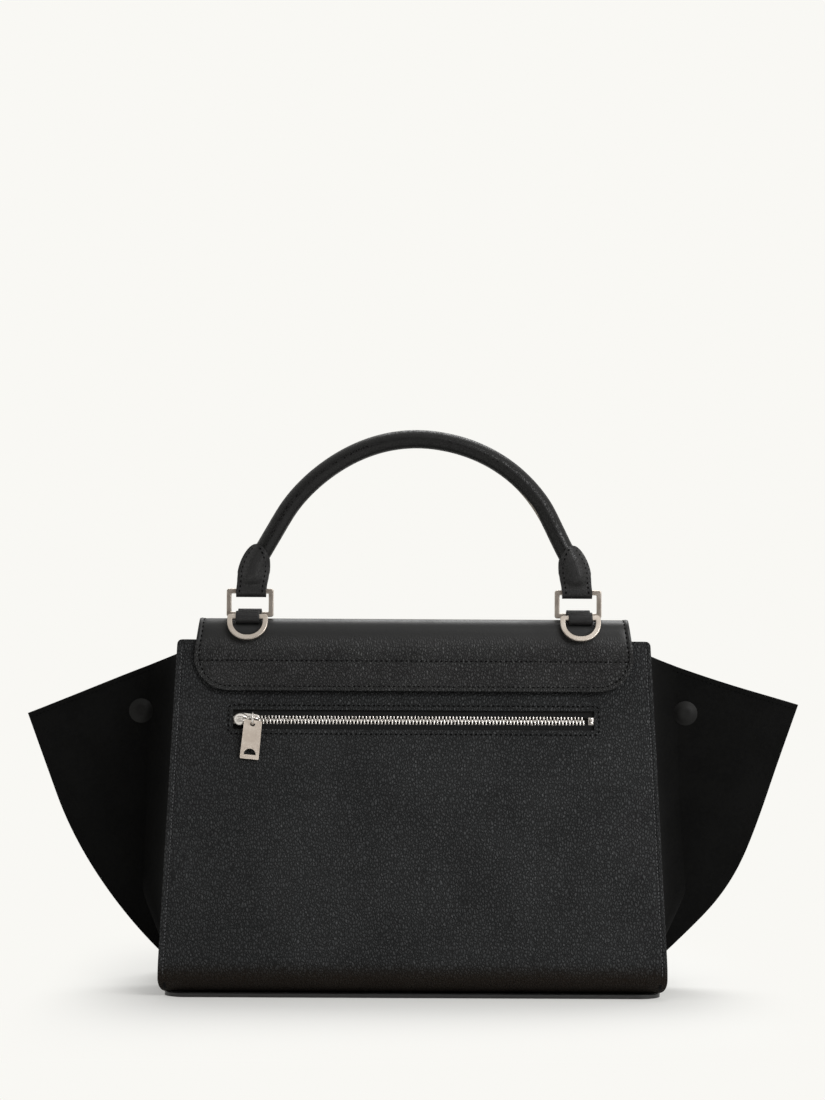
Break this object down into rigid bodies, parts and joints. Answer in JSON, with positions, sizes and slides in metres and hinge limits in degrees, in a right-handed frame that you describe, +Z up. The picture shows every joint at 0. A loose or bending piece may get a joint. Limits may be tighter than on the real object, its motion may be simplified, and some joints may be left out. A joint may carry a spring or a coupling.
{
  "type": "trapeze bag",
  "caption": "Winged top-handle handbag: leaning black leather body, suede side wings, flap with a rolled handle on metal rings, zipped back pocket and a turn lock.",
  "frame": {"origin": "on the ground under the middle of the bag's bounding box", "axes": "+X to the right of the zipped back as one faces it, -Y out of the zipped back, +Z up"},
  "size_m": [0.4752, 0.142, 0.3406],
  "materials": {
    "grained_leather": "black pebbled calfskin, low sheen",
    "smooth_leather": "black smooth calfskin, low sheen",
    "suede": "black suede, matte nap",
    "lining_cloth": "black twill",
    "zip_tape": "black woven tape",
    "pale_metal": "polished pale nickel",
    "zip_metal": "polished nickel",
    "snap_metal": "dark satin enamel",
    "board": "pressed fibreboard",
    "handle_rope": "twisted cotton rope"
  },
  "bodies": {
    "bag": {"rear_panel": "grained_leather", "front_panel": "grained_leather", "base_panel": "smooth_leather", "base_board": "board", "lining": "lining_cloth", "top_facing_rear": "smooth_leather", "top_facing_front": "smooth_leather", "side_wall_left_rear": "suede", "side_wall_left_front": "suede", "side_wall_right_rear": "suede", "side_wall_right_front": "suede", "flap_sewn_strip": "grained_leather", "zip_tape_upper": "zip_tape", "zip_tape_lower": "zip_tape", "zip_teeth_upper": "zip_metal", "zip_teeth_lower": "zip_metal", "zip_stop_left": "zip_metal", "zip_stop_right": "zip_metal", "pocket_bag": "lining_cloth", "lock_base": "pale_metal", "lock_washer": "pale_metal", "lock_screws": "pale_metal"},
    "flap": {"flap_leather": "grained_leather", "flap_backing": "smooth_leather", "lock_plate": "pale_metal", "lock_backing": "pale_metal", "ring_loop_left": "smooth_leather", "ring_loop_right": "smooth_leather", "strap_loop_left": "smooth_leather", "strap_loop_right": "smooth_leather"},
    "handle_rings": {"handle_ring_left": "pale_metal", "handle_ring_right": "pale_metal"},
    "handle": {"handle_cover": "grained_leather", "handle_core": "handle_rope", "handle_tab_left": "grained_leather", "handle_tab_right": "grained_leather"},
    "strap_ring_left": {"strap_ring_left": "pale_metal"},
    "strap_ring_right": {"strap_ring_right": "pale_metal"},
    "zip_slider": {"zip_slider": "pale_metal"},
    "puller_link": {"puller_link": "pale_metal"},
    "puller_plate": {"puller_plate": "pale_metal"},
    "lock_knob": {"lock_knob": "pale_metal"},
    "wing_left": {"wing_left_rear": "suede", "wing_left_front": "suede", "wing_left_welt": "suede", "snap_left_cap": "snap_metal", "snap_left_socket": "snap_metal", "snap_left_stud": "snap_metal", "snap_left_back_disc": "snap_metal"},
    "wing_right": {"wing_right_rear": "suede", "wing_right_front": "suede", "wing_right_welt": "suede", "snap_right_cap": "snap_metal", "snap_right_socket": "snap_metal", "snap_right_stud": "snap_metal", "snap_right_back_disc": "snap_metal"}
  },
  "joints": [
    {"name": "flap_hinge", "type": "hinge", "parent": "bag", "child": "flap", "pos_m": [0, -0.03805, 0.1995], "axis": [1, 0, 0], "range_deg": [0, 110]},
    {"name": "ring_swing", "type": "hinge", "parent": "flap", "child": "handle_rings", "pos_m": [0, -0.02557, 0.22739], "axis": [-1, 0, 0], "range_deg": [-60, 60]},
    {"name": "handle_swing", "type": "hinge", "parent": "handle_rings", "child": "handle", "pos_m": [0, -0.02557, 0.24158], "axis": [-1, 0, 0], "range_deg": [-40, 30]},
    {"name": "strap_ring_left_swing", "type": "hinge", "parent": "flap", "child": "strap_ring_left", "pos_m": [-0.101, -0.03377, 0.22578], "axis": [-1, 0, 0], "range_deg": [0, 120]},
    {"name": "strap_ring_right_swing", "type": "hinge", "parent": "flap", "child": "strap_ring_right", "pos_m": [0.101, -0.03377, 0.22578], "axis": [-1, 0, 0], "range_deg": [0, 120]},
    {"name": "zip_slide", "type": "slide", "parent": "bag", "child": "zip_slider", "axis": [1, 0, 0], "range_m": [0, 0.196]},
    {"name": "puller_lift", "type": "hinge", "parent": "zip_slider", "child": "puller_link", "pos_m": [-0.09666, -0.04717, 0.16491], "axis": [-1, 0, 0], "range_deg": [0, 90]},
    {"name": "puller_swing", "type": "hinge", "parent": "puller_link", "child": "puller_plate", "pos_m": [-0.09666, -0.04877, 0.16121], "axis": [0, 1, 0], "range_deg": [-40, 30]},
    {"name": "wing_left_flex", "type": "hinge", "parent": "bag", "child": "wing_left", "pos_m": [-0.14611, 0, 0.012], "axis": [-0.0365, 0, -0.9993], "range_deg": [-30, 30], "stiffness_Nm_per_rad": 0.06},
    {"name": "wing_right_flex", "type": "hinge", "parent": "bag", "child": "wing_right", "pos_m": [0.14611, 0, 0.012], "axis": [-0.0365, 0, 0.9993], "range_deg": [-30, 30], "stiffness_Nm_per_rad": 0.06},
    {"name": "lock_turn", "type": "hinge", "parent": "bag", "child": "lock_knob", "pos_m": [0, 0.05143, 0.12], "axis": [0, 0.9805, 0.1964], "range_deg": [0, 90]}
  ]
}
